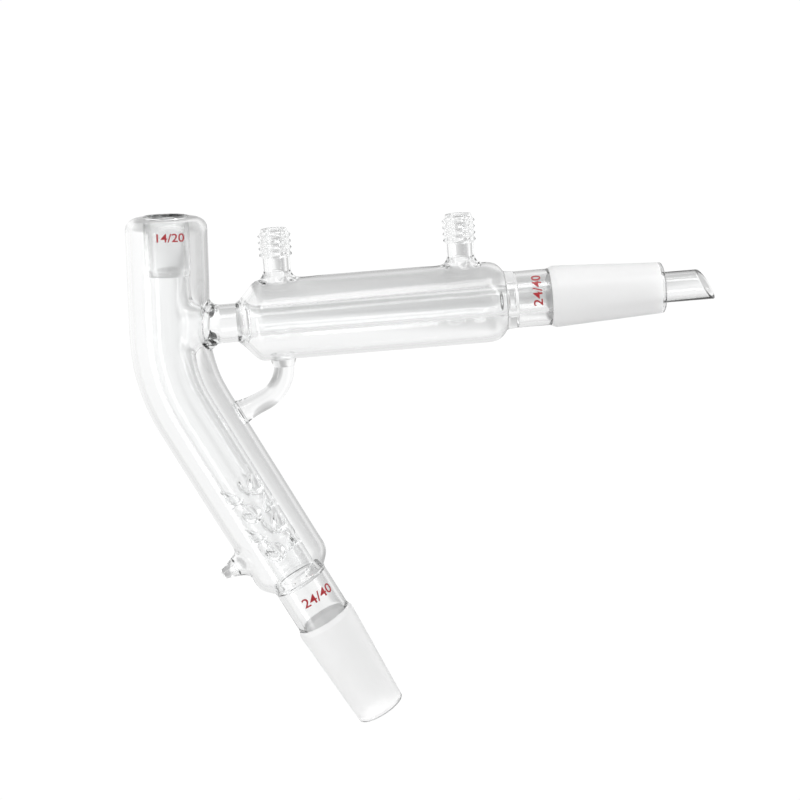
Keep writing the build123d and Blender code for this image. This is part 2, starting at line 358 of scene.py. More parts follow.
def turned(axis, corners, rounds=None, steps=128):
    """A bmesh turned about an axis from (radius, distance) corners, some of them rounded."""
    bm = bmesh.new()
    verts = [bm.verts.new((radius, 0, distance)) for radius, distance in corners]
    on_axis = corners[0][0] == 0 and corners[-1][0] == 0
    for start, end in zip(verts, verts[1:] + ([] if on_axis else verts[:1])):
        bm.edges.new((start, end))
    for number, radius in (rounds or {}).items():
        vert = verts[number]
        arms = [edge.other_vert(vert).co - vert.co for edge in vert.link_edges]
        offset = radius / math.tan(arms[0].angle(arms[1]) / 2)
        bmesh.ops.bevel(bm, geom=[vert], offset=offset, segments=8, profile=0.5,
                        affect="VERTICES", material=-1)
    bmesh.ops.spin(bm, geom=bm.verts[:] + bm.edges[:], cent=(0, 0, 0), axis=(0, 0, 1),
                   angle=2 * math.pi, steps=steps, use_merge=True)
    bmesh.ops.transform(bm, matrix=axis, verts=bm.verts)
    return bm


def station(distance):
    """The place on the column's middle line at a distance from the flask cone's plane."""
    radius = sizes().bend_radius
    start = ELBOW.z - radius * math.tan(LEAN / 2)
    turn = min(max((distance - start) / radius, 0), LEAN)
    straight = distance - start - radius * turn
    centre = Vector((radius, 0, start))
    arc = Matrix.Translation(centre) @ Matrix.Rotation(turn, 4, "Y") @ Matrix.Translation((-radius, 0, 0))
    return arc @ Matrix.Translation((0, 0, straight))


def bend_end():
    """Distance of the end of the bend along the column."""
    radius = sizes().bend_radius
    return ELBOW.z - radius * math.tan(LEAN / 2) + radius * LEAN


def crossing():
    """Distance along the column of the place where the condenser's axis starts."""
    return bend_end() + (station(bend_end()).inverted() @ CROSSING).z


def from_column(point):
    """How far a point is from the column's middle line."""
    radius = sizes().bend_radius
    start = ELBOW.z - radius * math.tan(LEAN / 2)
    turn = min(max(math.atan2(point.z - start, radius - point.x), 0), LEAN)
    return (station(start + radius * turn).inverted() @ point).xy.length


def from_condenser(point):
    """How far a point is from the condenser's axis."""
    return (SLOPE.inverted() @ point).xy.length


def land(point, direction, distance_of, radius):
    """The point moved along a direction until it is at a radius."""
    low, high = -12 * MM, 12 * MM
    sign = 1 if distance_of(point + direction * high) > distance_of(point + direction * low) else -1
    for _ in range(30):
        middle = (low + high) / 2
        if sign * (distance_of(point + direction * middle) - radius) > 0:
            high = middle
        else:
            low = middle
    return point + direction * (low + high) / 2


def hoop(bm, place, radius):
    """A hoop of edges about a place's Z; returns its vertices in order."""
    return bmesh.ops.create_circle(bm, segments=SIDES, radius=radius * widening(SIDES),
                                   matrix=place)["verts"]


def slope_hoop(bm, height, radius):
    """A hoop about the condenser's axis."""
    return hoop(bm, SLOPE @ Matrix.Translation((0, 0, height)), radius)


def edges_of(verts):
    """The edges round a hoop."""
    inside = set(verts)
    return [edge for edge in {e for v in verts for e in v.link_edges} if set(edge.verts) <= inside]


def join(bm, first, second):
    """Faces from one hoop to the next, vertex by vertex; returns them."""
    return [bm.faces.new((first[number - 1], first[number], second[number], second[number - 1]))
            for number in range(len(first))]


def skin(bm, hoops):
    """Faces through a row of hoops; returns them."""
    faces = []
    for first, second in zip(hoops, hoops[1:]):
        faces += join(bm, first, second)
    return faces


def crease(bm, *hoops):
    """Keeps hoops sharp when the skin is subdivided."""
    layer = bm.edges.layers.float.get("crease_edge") or bm.edges.layers.float.new("crease_edge")
    for verts in hoops:
        for edge in edges_of(verts):
            edge[layer] = 1


def hollow(bm, outer, inner):
    """A wall from its outer hoops and, on the way back, its inner ones; returns each side's faces."""
    sides = skin(bm, outer), skin(bm, inner)
    join(bm, outer[-1], inner[0])
    join(bm, inner[-1], outer[0])
    crease(bm, outer[0], outer[-1], inner[0], inner[-1])
    return sides


def opened(bm, faces, axis, tall, wide):
    """Takes the faces about an axis away; returns the hole's vertices in order of angle."""
    inverse = axis.inverted()
    patch = set()
    for face in [face for face in faces if face.is_valid]:
        centre = inverse @ face.calc_center_median()
        if abs(centre.x) < tall and abs(centre.y) < wide and centre.z > 0:
            patch.add(face)
    rim = {vert for face in patch for vert in face.verts if set(vert.link_faces) - patch}
    bmesh.ops.delete(bm, geom=list(patch), context="FACES")
    return by_angle([vert for vert in rim if vert.is_valid], axis)


def by_angle(verts, axis):
    """Vertices in order of their angle about an axis."""
    inverse = axis.inverted()

    def angle(vert):
        point = inverse @ vert.co
        turn = math.atan2(point.y, point.x)
        return turn + 2 * math.pi if turn < -0.1 else turn

    return sorted(verts, key=angle)


def rounded(verts, axis, radius, height=None, tall=1.0):
    """Spreads a hoop's vertices evenly on a round about an axis, at a height or where they are."""
    inverse = axis.inverted()
    for number, vert in enumerate(verts):
        angle = 2 * math.pi * number / len(verts)
        z = (inverse @ vert.co).z if height is None else height
        spot = Vector((radius * tall * math.cos(angle), radius * math.sin(angle), z))
        vert.co = axis @ spot


def raised(bm, verts):
    """A copy of a hoop, joined to it by faces."""
    made = bmesh.ops.extrude_edge_only(bm, edges=edges_of(verts))["geom"]
    return [item for item in made if isinstance(item, bmesh.types.BMVert)]


def subdivided(piece, levels=3):
    """The piece's mesh replaced by its subdivided one."""
    modifier = piece.modifiers.new("skin", "SUBSURF")
    modifier.levels = levels
    modifier.render_levels = levels
    modifier.boundary_smooth = "PRESERVE_CORNERS"
    graph = bpy.context.evaluated_depsgraph_get()
    mesh = bpy.data.meshes.new_from_object(piece.evaluated_get(graph))
    piece.modifiers.clear()
    piece.data = mesh
    return piece


# ---------------------------------------------------------------------------------------------
# Pieces. A seam between two pieces is a hair wide, so that their faces never lie in each other.

SEAM = 0.03 * MM

# Half the one in ten by which a ground taper's diameter falls along its length
TAPER = 0.05

# The horn that the column tube is drawn out into: its mouth's radius, and where along the
# condenser's axis it narrows and ends. The collar's hole through the jacket lies round it
HORN_MOUTH_R = 7.3 * MM
HORN_WAIST = 10.6 * MM
HORN_END = 12.8 * MM
COLLAR_R = 9.8 * MM

# How far a wall is drawn out under a hose connection and under the seal-off tip
STUB = 3.2 * MM
TIP_STUB = 2.8 * MM

HOSE_BORE = 3.4 * MM
HOSE_STEM = 5.3 * MM

# The slant of the drip tip's mouth is turned about its axis
TIP_TURN = math.radians(35)

# The bridge rod: where its two straight runs would meet, and a point on the way to the column
ROD_CORNER = Vector((35, 0, 88.4)) * MM
ROD_FOOT = Vector((14, 0, 89.7)) * MM
ROD_BEND = 14.5 * MM


def spaced(start, end, step):
    """Distances from start to end, both left out, about a step apart."""
    count = max(1, round((end - start) / step))
    return [start + (end - start) * number / count for number in range(1, count)]


def column_hoops(bm, rings):
    """Hoops along the column from (distance, radius) pairs."""
    return [hoop(bm, station(distance), radius) for distance, radius in rings]


def across(axis, distance):
    """The place on an axis from which its hose connection or stub stands up."""
    return axis @ Matrix.Translation((0, 0, distance)) @ Matrix.Rotation(-math.pi / 2, 4, "Y")


def landed(verts, direction, distance_of, radius):
    """Moves vertices along a direction until they lie at a radius."""
    for vert in verts:
        vert.co = land(vert.co, direction, distance_of, radius)
    return verts


def stub(bm, faces, axis, reach, distance_of, steps):
    """Draws a skin out into a short stub: first radius on the skin, then (radius, height) steps."""
    rim = opened(bm, faces, axis, reach, reach)
    upward = (axis.to_3x3() @ Vector((0, 0, 1))).normalized()
    widen = widening(STUB_SIDES)
    (first, surface), *others = steps
    rounded(rim, axis, first * widen)
    landed(rim, upward, distance_of, surface)
    for radius, height in others:
        rim = by_angle(raised(bm, rim), axis)
        rounded(rim, axis, radius * widen, height)
    return rim


def seal_axis():
    """Where the seal-off tip stands on the column jacket."""
    return across(Matrix.Translation((0, 0, 0)), TIP_OFF_HEIGHT)


def column_jacket():
    """The outer wall of the vacuum space, with its domed rim and the side arm's hole."""
    bm = bmesh.new()
    wall = sizes().jacket_wall
    inside = JACKET_R - wall
    middle = crossing()
    top = middle + JACKET_TOP
    foot = SHOULDER_FOOT
    tip_rows = [TIP_OFF_HEIGHT + row * 3.1 * MM for row in (-1, 0, 1)]
    arm_rows = [middle + row * 5 * MM for row in (-2, -1, 0, 1, 2)]
    rows = tip_rows + spaced(tip_rows[-1], arm_rows[0], 6.5 * MM) + arm_rows
    rows += spaced(arm_rows[-1], top - 7 * MM, 6.5 * MM)
    outer = [(foot, FOOT_R), (foot + 2.2 * MM, FOOT_R + 2.3 * MM), (foot + 4.8 * MM, JACKET_R)]
    outer += [(foot + 8.5 * MM, JACKET_R)] + [(row, JACKET_R) for row in rows]
    outer += [(top - 6.5 * MM, JACKET_R), (top - 3.4 * MM, JACKET_R)]
    outer += [(top - 1.5 * MM, JACKET_R - 1.2 * MM), (top - 0.2 * MM, JACKET_R - 3.6 * MM)]
    outer += [(top, SOCKET_R + SEAM)]
    inner = [(top - wall, SOCKET_R + SEAM), (top - 1.8 * MM, inside - 2.6 * MM)]
    inner += [(top - 2.9 * MM, inside - 0.9 * MM), (top - 4.6 * MM, inside), (top - 7.5 * MM, inside)]
    inner += [(row, inside) for row in reversed(rows)]
    inner += [(foot + 8.5 * MM, inside), (foot + 5.3 * MM, inside)]
    inner += [(foot + 2.8 * MM, FOOT_R + 0.8 * MM), (foot, FOOT_R - wall)]
    outer_faces, inner_faces = hollow(bm, column_hoops(bm, outer), column_hoops(bm, inner))
    rims = []
    for faces, radius in ((outer_faces, JACKET_R), (inner_faces, inside)):
        rim = opened(bm, faces, SLOPE, 10 * MM, 11 * MM)
        rounded(rim, SLOPE, COLLAR_R * widening(SIDES))
        rims.append(landed(rim, ALONG, from_column, radius))
    join(bm, *rims)
    crease(bm, *rims)
    axis = seal_axis()
    ends = [
        stub(bm, outer_faces, axis, 4.2 * MM, from_column,
             [(6.3 * MM, JACKET_R), (4.8 * MM, JACKET_R + 1.1 * MM), (4.1 * MM, JACKET_R + TIP_STUB)]),
        stub(bm, inner_faces, axis, 4.2 * MM, from_column,
             [(4.6 * MM, inside), (3.2 * MM, JACKET_R + 0.4 * MM), (2.3 * MM, JACKET_R + TIP_STUB)]),
    ]
    join(bm, *ends)
    crease(bm, *ends)
    piece = mesh_piece("column_jacket_glass", bm, [clear_glass()])
    return stand_for(subdivided(piece), ["column_jacket"])


def dented(mesh):
    """Pushes the column's points in, on its outer and its inner wall alike."""
    chosen = sizes()
    wall = COLUMN_R - COLUMN_BORE
    slope_down, first_turn = math.radians(35), math.radians(20)
    for row in range(chosen.dent_rows):
        height = chosen.dent_first + row * chosen.dent_pitch
        for number in range(chosen.dents_in_row):
            turn = 2 * math.pi / chosen.dents_in_row * (number + 0.5 * (row % 2)) + first_turn
            outward = Vector((math.cos(turn), math.sin(turn), 0))
            push = -outward * math.cos(slope_down) - Vector((0, 0, math.sin(slope_down)))
            mouth = outward * COLUMN_R + Vector((0, 0, height))
            for vert in mesh.vertices:
                reach = vert.co - mouth
                if reach.dot(outward) < -COLUMN_R / 2 or abs(reach.z) > 8 * MM:
                    continue
                away = (reach - push * reach.dot(push)).length
                inner = vert.co.xy.length < COLUMN_R - wall / 2
                width = chosen.dent_mouth + (0.9 * MM if inner else 0)
                if away < width:
                    share = away / width
                    vert.co += push * chosen.dent_reach * (1 - share ** 2) ** 1.6


def column_tube():
    """The bent inner tube with its points, drawn out into a horn towards the side arm."""
    bm = bmesh.new()
    chosen = sizes()
    middle = crossing()
    top = middle + SOCKET_FOOT
    last = chosen.dent_first + (chosen.dent_rows - 1) * chosen.dent_pitch
    rows = [COLUMN_FOOT + 3 * MM, chosen.dent_first - 5 * MM]
    rows += spaced(rows[-1], last + 4 * MM, 2.2 * MM) + [last + 4 * MM]
    horn_rows = [middle + row * 4.5 * MM for row in (-3, -2, -1, 0, 1, 2, 3)]
    rows += spaced(rows[-1], horn_rows[0], 5 * MM) + horn_rows
    rows += spaced(horn_rows[-1], top, 4 * MM)
    rows = [COLUMN_FOOT + SEAM, *rows, top]
    outer_faces, inner_faces = hollow(bm, column_hoops(bm, [(row, COLUMN_R) for row in rows]),
                                      column_hoops(bm, [(row, COLUMN_BORE) for row in reversed(rows)]))
    ends = []
    wall = COLUMN_R - COLUMN_BORE
    widen = widening(SIDES)
    for faces, wide, inset in ((outer_faces, 5.9 * MM, 0), (inner_faces, 5 * MM, wall)):
        rim = opened(bm, faces, SLOPE, 9 * MM, wide)
        rounded(rim, SLOPE, (HORN_MOUTH_R - inset) * widen, tall=1.5)
        for radius, height, tall in ((ARM_R, HORN_WAIST, 1.14), (ARM_R, HORN_END, 1.0)):
            rim = by_angle(raised(bm, rim), SLOPE)
            rounded(rim, SLOPE, (radius - inset) * widen, height, tall)
        ends.append(rim)
    join(bm, *ends)
    crease(bm, *ends)
    piece = subdivided(mesh_piece("column_tube_glass", bm, [clear_glass()]))
    dented(piece.data)
    return stand_for(piece, ["column_tube"])


def side_arm_collar():
    """The ring that joins horn, column jacket and side arm."""
    bm = bmesh.new()
    inside = JACKET_R - sizes().jacket_wall
    bore = ARM_R - (COLUMN_R - COLUMN_BORE)
    rim_outer = landed(slope_hoop(bm, 14 * MM, COLLAR_R - SEAM), ALONG, from_column, JACKET_R)
    rim_inner = landed(slope_hoop(bm, 12 * MM, COLLAR_R - SEAM), ALONG, from_column, inside)
    ends = [
        slope_hoop(bm, ARM_START - SEAM, ARM_R),
        slope_hoop(bm, ARM_START - SEAM, ARM_BORE),
        slope_hoop(bm, HORN_END + SEAM, bore),
        slope_hoop(bm, HORN_END + SEAM, ARM_R),
    ]
    rings = [rim_outer, slope_hoop(bm, 16.6 * MM, 8.7 * MM), slope_hoop(bm, 18.2 * MM, ARM_R + 0.1 * MM)]
    rings += [*ends, slope_hoop(bm, 12.9 * MM, 8.5 * MM), rim_inner]
    skin(bm, rings)
    join(bm, rim_inner, rim_outer)
    crease(bm, rim_outer, *ends, rim_inner)
    piece = mesh_piece("side_arm_collar_glass", bm, [clear_glass()])
    return stand_for(subdivided(piece), ["side_arm_collar"])


def tube(name, axis, start, end, bore, radius, nodes):
    """A straight length of clear tube."""
    corners = [(bore, start + SEAM), (radius, start + SEAM), (radius, end - SEAM), (bore, end - SEAM)]
    return stand_for(mesh_piece(name, turned(axis, corners), [clear_glass()]), nodes)


def condenser_jacket():
    """The water jacket, its wall drawn out under each hose connection."""
    bm = bmesh.new()
    wall = sizes().jacket_wall
    inside = SHELL_R - wall
    outlet, inlet = HOSES["water_outlet"], HOSES["water_inlet"]
    rows = [outlet - 6 * MM, outlet, outlet + 6 * MM]
    rows += spaced(rows[-1], inlet - 6 * MM, 8 * MM) + [inlet - 6 * MM, inlet, inlet + 6 * MM]
    outer = [(RING_START, RING_R), (RING_START + 2 * MM, RING_R + 2.3 * MM)]
    outer += [(RING_START + 4.2 * MM, SHELL_R - 1.4 * MM), (RING_START + 6.4 * MM, SHELL_R)]
    outer += [(row, SHELL_R) for row in rows]
    outer += [(SHELL_END - 5.4 * MM, SHELL_R), (SHELL_END - 2.2 * MM, SHELL_R - 1.3 * MM)]
    outer += [(SHELL_END, FOOT_R)]
    inner = [(SHELL_END, FOOT_R - wall), (SHELL_END - 2.6 * MM, inside - 1.3 * MM)]
    inner += [(SHELL_END - 5.6 * MM, inside)] + [(row, inside) for row in reversed(rows)]
    inner += [(RING_START + 6.6 * MM, inside), (RING_START + 4.6 * MM, inside - 1.4 * MM)]
    inner += [(RING_START + 1.2 * MM, RING_BORE)]
    outer_faces, inner_faces = hollow(bm, [slope_hoop(bm, *ring) for ring in outer],
                                      [slope_hoop(bm, *ring) for ring in inner])
    for distance in HOSES.values():
        axis = across(SLOPE, distance)
        ends = [
            stub(bm, outer_faces, axis, 5 * MM, from_condenser,
                 [(7.4 * MM, SHELL_R), (5.7 * MM, SHELL_R + 1.5 * MM), (HOSE_STEM, SHELL_R + STUB)]),
            stub(bm, inner_faces, axis, 5 * MM, from_condenser,
                 [(4.8 * MM, inside), (3.6 * MM, SHELL_R + 0.4 * MM), (HOSE_BORE, SHELL_R + STUB)]),
        ]
        join(bm, *ends)
        crease(bm, *ends)
    piece = mesh_piece("condenser_jacket_glass", bm, [clear_glass()])
    return stand_for(subdivided(piece), ["condenser_jacket"])


def inlet_seal():
    """The ring where the side arm meets the condenser's jacket and its inner tube."""
    corners = [
        (ARM_BORE, SEAL_START),
        (ARM_R, SEAL_START),
        (RING_R, RING_START - SEAM),
        (RING_BORE, RING_START + 1.2 * MM - SEAM),
        (VAPOUR_R + 0.9 * MM, SEAL_END - 2.5 * MM),
        (VAPOUR_R, SEAL_END),
        (VAPOUR_BORE, SEAL_END),
        (ARM_BORE, SEAL_START + 3 * MM),
    ]
    bm = turned(SLOPE, corners, {4: 3 * MM, 7: 5 * MM})
    return stand_for(mesh_piece("condenser_inlet_seal_glass", bm, [clear_glass()]),
                     ["condenser_inlet_seal"])


def outlet_seal():
    """The web that closes the water jacket and holds the inner tube."""
    corners = [
        (VAPOUR_BORE, VAPOUR_END),
        (VAPOUR_R, VAPOUR_END),
        (FOOT_R - sizes().jacket_wall, SHELL_END + SEAM),
        (FOOT_R, SHELL_END + SEAM),
        (NECK_R, OUTLET_END),
        (NECK_BORE, OUTLET_END),
        (VAPOUR_R, TIP_START),
        (VAPOUR_BORE, TIP_START),
    ]
    bm = turned(SLOPE, corners, {6: 0.7 * MM})
    return stand_for(mesh_piece("condenser_outlet_seal_glass", bm, [clear_glass()]),
                     ["condenser_outlet_seal"])


def lower_seal():
    """The thick ring that joins neck, jacket and inner tube at the foot of the column."""
    corners = [
        (NECK_BORE, NECK_TOP),
        (NECK_R, NECK_TOP),
        (FOOT_R, SHOULDER_FOOT - SEAM),
        (FOOT_R - sizes().jacket_wall, SHOULDER_FOOT - SEAM),
        (COLUMN_R, COLUMN_FOOT),
        (COLUMN_BORE, COLUMN_FOOT),
    ]
    bm = turned(LOWER, corners, {3: 0.6 * MM})
    return stand_for(mesh_piece("lower_ring_seal_glass", bm, [clear_glass()]), ["lower_ring_seal"])


def ground_faces(piece, axis, low, high, least):
    """Gives the faces of a ground taper their own material slot."""
    inverse = axis.inverted()
    for polygon in piece.data.polygons:
        centre = inverse @ polygon.center
        if low < centre.z < high and least(centre.z) < centre.xy.length < least(centre.z) + 0.6 * MM:
            polygon.material_index = 1


def cone_piece(name, axis, start, gauge, end, nodes):
    """A ground cone with its clear neck, its wide end at the gauge distance."""
    shoulder_length = 2.6 * MM
    shoulder = (CONE_R - NECK_R) / shoulder_length
    end_r = CONE_R - (end - 1.6 * MM - gauge) * TAPER
    corners = [
        (NECK_BORE, start + SEAM),
        (NECK_R, start + SEAM),
        (NECK_R, gauge - shoulder_length),
        (CONE_R, gauge),
        (end_r, end - 1.6 * MM),
        (end_r - 0.1 * MM, end),
        (end_r - 1.85 * MM, end),
        (NECK_BORE, gauge),
    ]
    bm = turned(axis, corners, {2: 3 * MM, 3: 1.2 * MM, 5: 0.8 * MM, 6: 0.8 * MM, 7: 12 * MM})
    piece = mesh_piece(name, bm, [clear_glass(), ground_cone()])
    ground_faces(piece, axis, gauge - 1.8 * MM, end - 1.5 * MM,
                 lambda z: CONE_R - max((z - gauge) * TAPER, (gauge - z) * shoulder) - 0.3 * MM)
    return stand_for(piece, nodes)


def thermometer_socket():
    """The ground socket for a thermometer."""
    mouth_r = SOCKET_BORE + MM
    ground_foot = SOCKET_RIM - 20.6 * MM
    corners = [
        (COLUMN_BORE, SOCKET_FOOT + SEAM),
        (COLUMN_R, SOCKET_FOOT + SEAM),
        (SOCKET_R, SOCKET_FOOT + 2 * MM),
        (SOCKET_R, SOCKET_RIM),
        (mouth_r + 0.5 * MM, SOCKET_RIM),
        (mouth_r, SOCKET_RIM - 0.6 * MM),
        (SOCKET_BORE, ground_foot),
    ]
    bm = turned(UPPER, corners, {2: 2 * MM, 3: 0.7 * MM, 6: 0.8 * MM})
    piece = mesh_piece("thermometer_socket_glass", bm, [clear_glass(), ground_bore()])
    ground_faces(piece, UPPER, ground_foot, SOCKET_RIM - 0.5 * MM,
                 lambda z: SOCKET_BORE + (z - ground_foot) * TAPER - 0.3 * MM)
    return stand_for(piece, ["thermometer_socket"])


def drip_tip():
    """The slant-cut tube inside the receiver cone, its mouth fire-polished."""
    corners = [(VAPOUR_BORE, TIP_START + SEAM), (VAPOUR_R, TIP_START + SEAM)]
    corners += [(VAPOUR_R, TIP_END + MM), (VAPOUR_BORE, TIP_END + MM)]
    bm = turned(SLOPE, corners)
    slant = math.atan2(TIP_END - TIP_SHORT, 2 * VAPOUR_R)
    tilt = Matrix.Rotation(TIP_TURN, 3, "Z") @ Matrix.Rotation(-slant, 3, "Y")
    normal = SLOPE.to_3x3() @ (tilt @ Vector((0, 0, 1)))
    middle = SLOPE @ Vector((0, 0, (TIP_END + TIP_SHORT) / 2))
    cut = bmesh.ops.bisect_plane(bm, geom=bm.verts[:] + bm.edges[:] + bm.faces[:], plane_co=middle,
                                 plane_no=normal, clear_outer=True)["geom_cut"]
    rim = [item for item in cut if isinstance(item, bmesh.types.BMEdge)]
    bmesh.ops.bridge_loops(bm, edges=rim)
    bmesh.ops.bevel(bm, geom=rim, offset=0.4 * MM, segments=4, profile=0.5, affect="EDGES",
                    material=-1)
    return stand_for(mesh_piece("drip_tip_glass", bm, [clear_glass()]), ["drip_tip"])


def hose_connection(name):
    """A ridged hose connection on the condenser."""
    chosen = sizes()
    foot = SHELL_R + STUB + SEAM
    corners = [(HOSE_BORE, foot), (HOSE_STEM, foot)]
    rounds = {}
    first = HOSE_TOP - 1.4 * MM - chosen.ridges * chosen.ridge_pitch
    for ridge in range(chosen.ridges):
        height = first + ridge * chosen.ridge_pitch
        corners += [(HOSE_STEM + 0.1 * MM, height), (HOSE_STEM + 1.2 * MM, height + 1.1 * MM)]
    corners += [(HOSE_STEM, HOSE_TOP - 1.4 * MM), (HOSE_STEM - 0.3 * MM, HOSE_TOP)]
    corners += [(HOSE_BORE, HOSE_TOP)]
    for number in range(2, len(corners) - 3):
        rounds[number] = 0.5 * MM
    rounds[len(corners) - 2] = 0.7 * MM
    rounds[len(corners) - 1] = 0.5 * MM
    bm = turned(across(SLOPE, HOSES[name]), corners, rounds, 96)
    return stand_for(mesh_piece(name + "_glass", bm, [clear_glass()]), [name])


def bridge_rod():
    """The bent rod that braces the condenser against the column."""
    bm = bmesh.new()
    radius = sizes().rod_radius
    upward = SLOPE.to_3x3() @ Vector((-1, 0, 0))
    inward = (ROD_FOOT - ROD_CORNER).normalized()
    half = upward.angle(inward) / 2
    tangent = ROD_BEND / math.tan(half)
    centre = ROD_CORNER + (upward + inward).normalized() * ROD_BEND / math.sin(half)
    start, end = ROD_CORNER + upward * tangent, ROD_CORNER + inward * tangent
    turn = math.pi - 2 * half
    steps = 8
    stops = []
    for step in range(steps + 1):
        spin = Matrix.Rotation(turn * step / steps, 3, "Y")
        stops.append((centre + spin @ (start - centre), spin @ -upward))
    head = land(start, upward, from_condenser, SHELL_R)
    tail = land(end + inward * 6 * MM, inward, from_column, JACKET_R)
    stops = [(head - upward * 3.2 * MM, -upward)] + stops + [(tail - inward * 3.2 * MM, inward)]

    def ring(point, direction, size):
        turn_to = direction.to_track_quat("Z", "Y").to_matrix().to_4x4()
        return hoop(bm, Matrix.Translation(point) @ turn_to, size)

    rings = [ring(point, direction, radius) for point, direction in stops]
    caps = []
    for point, direction, distance_of, reach in (
        (head, -upward, from_condenser, SHELL_R + SEAM),
        (tail, inward, from_column, JACKET_R + SEAM),
    ):
        cap = [landed(ring(point, direction, radius * share), direction, distance_of, reach)
               for share in (1.22, 0.7, 0.3)]
        crease(bm, cap[0])
        bm.faces.new(cap[-1])
        caps.append(cap)
    skin(bm, [*reversed(caps[0]), *rings, *caps[1]])
    piece = mesh_piece("bridge_rod_glass", bm, [clear_glass()])
    return stand_for(subdivided(piece), ["bridge_rod"])


def seal_off_tip():
    """The melted point of the vacuum jacket."""
    foot = JACKET_R + TIP_STUB + SEAM
    corners = [
        (0, foot + 2.6 * MM),
        (2.3 * MM, foot),
        (4.1 * MM, foot),
        (2.7 * MM, foot + 3.2 * MM),
        (1.8 * MM, TIP_OFF_END),
        (0, TIP_OFF_END),
    ]
    bm = turned(seal_axis(), corners, {3: 6 * MM, 4: 1.5 * MM}, 64)
    return stand_for(mesh_piece("seal_off_tip_glass", bm, [clear_glass()]), ["seal_off_tip"])


def numerals(name, text, place, top, radius, height, turn):
    """Size numerals fired onto a tube: they read round it, with their tops towards a direction."""
    curve = bpy.data.curves.new(name, "FONT")
    curve.body = text
    curve.align_x, curve.align_y = "CENTER", "CENTER"
    curve.extrude = 0.004
    curve.offset = 0.012
    source = placed(name, curve)
    graph = bpy.context.evaluated_depsgraph_get()
    mesh = bpy.data.meshes.new_from_object(source.evaluated_get(graph))
    bpy.data.objects.remove(source)
    bm = bmesh.new()
    bm.from_mesh(mesh)
    digit = max(vert.co.y for vert in bm.verts) - min(vert.co.y for vert in bm.verts)
    scale = height / digit
    broad = scale * look().print_width
    bmesh.ops.remove_doubles(bm, verts=bm.verts, dist=0.0001)
    bmesh.ops.scale(bm, vec=(broad, scale, scale), verts=bm.verts)
    width = max(vert.co.x for vert in bm.verts)
    for cut in spaced(-width, width, 0.35 * MM):
        bmesh.ops.bisect_plane(bm, geom=bm.verts[:] + bm.edges[:] + bm.faces[:],
                               plane_co=(cut, 0, 0), plane_no=(1, 0, 0))
    outward = Matrix.Rotation(turn, 3, top) @ Vector((0, -1, 0))
    reading = top.cross(outward)
    for vert in bm.verts:
        angle = vert.co.x / radius
        rise = radius + 0.04 * MM + vert.co.z
        round_tube = outward * math.cos(angle) + reading * math.sin(angle)
        vert.co = place + top * vert.co.y + round_tube * rise
    piece = mesh_piece(name, bm, [bpy.data.materials.get("print_enamel") or print_enamel()])
    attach(piece, "root")
    return piece


# ---------------------------------------------------------------------------------------------
# Operators: one for each piece or group of like pieces, and one for the stage

class HEAD_OT_flask_cone(bpy.types.Operator):
    """Builds the ground cone for the flask and the ring seal above it"""

    bl_idname = "head.flask_cone"
    bl_label = "Flask cone"

    def execute(self, context):
        downward = Matrix.Rotation(math.pi, 4, "X")
        cone_piece("flask_cone_glass", downward, -NECK_TOP, 0, CONE_END - GAUGE, ["flask_cone"])
        lower_seal()
        return {"FINISHED"}


class HEAD_OT_column_jacket(bpy.types.Operator):
    """Builds the vacuum jacket of the column and its seal-off tip"""

    bl_idname = "head.column_jacket"
    bl_label = "Column jacket"

    def execute(self, context):
        column_jacket()
        seal_off_tip()
        return {"FINISHED"}


class HEAD_OT_column_tube(bpy.types.Operator):
    """Builds the bent inner tube with its points and its horn"""

    bl_idname = "head.column_tube"
    bl_label = "Column tube"

    def execute(self, context):
        column_tube()
        return {"FINISHED"}


class HEAD_OT_thermometer_socket(bpy.types.Operator):
    """Builds the ground socket at the top of the column"""

    bl_idname = "head.thermometer_socket"
    bl_label = "Thermometer socket"

    def execute(self, context):
        thermometer_socket()
        return {"FINISHED"}


class HEAD_OT_side_arm(bpy.types.Operator):
    """Builds the collar and the side arm"""

    bl_idname = "head.side_arm"
    bl_label = "Side arm"

    def execute(self, context):
        side_arm_collar()
        tube("side_arm_glass", SLOPE, ARM_START, SEAL_START, ARM_BORE, ARM_R, ["side_arm"])
        return {"FINISHED"}


class HEAD_OT_condenser(bpy.types.Operator):
    """Builds the condenser: jacket, inner tube and the seals at its ends"""

    bl_idname = "head.condenser"
    bl_label = "Condenser"

    def execute(self, context):
        inlet_seal()
        condenser_jacket()
        tube("condenser_tube_glass", SLOPE, SEAL_END, VAPOUR_END, VAPOUR_BORE, VAPOUR_R,
             ["condenser_tube"])
        outlet_seal()
        return {"FINISHED"}


class HEAD_OT_receiver_cone(bpy.types.Operator):
    """Builds the ground cone for the receiver and the drip tip inside it"""

    bl_idname = "head.receiver_cone"
    bl_label = "Receiver cone"

    def execute(self, context):
        cone_piece("receiver_cone_glass", SLOPE, NECK_START, GAUGE, CONE_END, ["receiver_cone"])
        drip_tip()
        return {"FINISHED"}


class HEAD_OT_hose_connections(bpy.types.Operator):
    """Builds the two ridged hose connections"""

    bl_idname = "head.hose_connections"
    bl_label = "Hose connections"

    def execute(self, context):
        for name in HOSES:
            hose_connection(name)
        return {"FINISHED"}


class HEAD_OT_bridge_rod(bpy.types.Operator):
    """Builds the bent glass rod between column and condenser"""

    bl_idname = "head.bridge_rod"
    bl_label = "Bridge rod"

    def execute(self, context):
        bridge_rod()
        return {"FINISHED"}


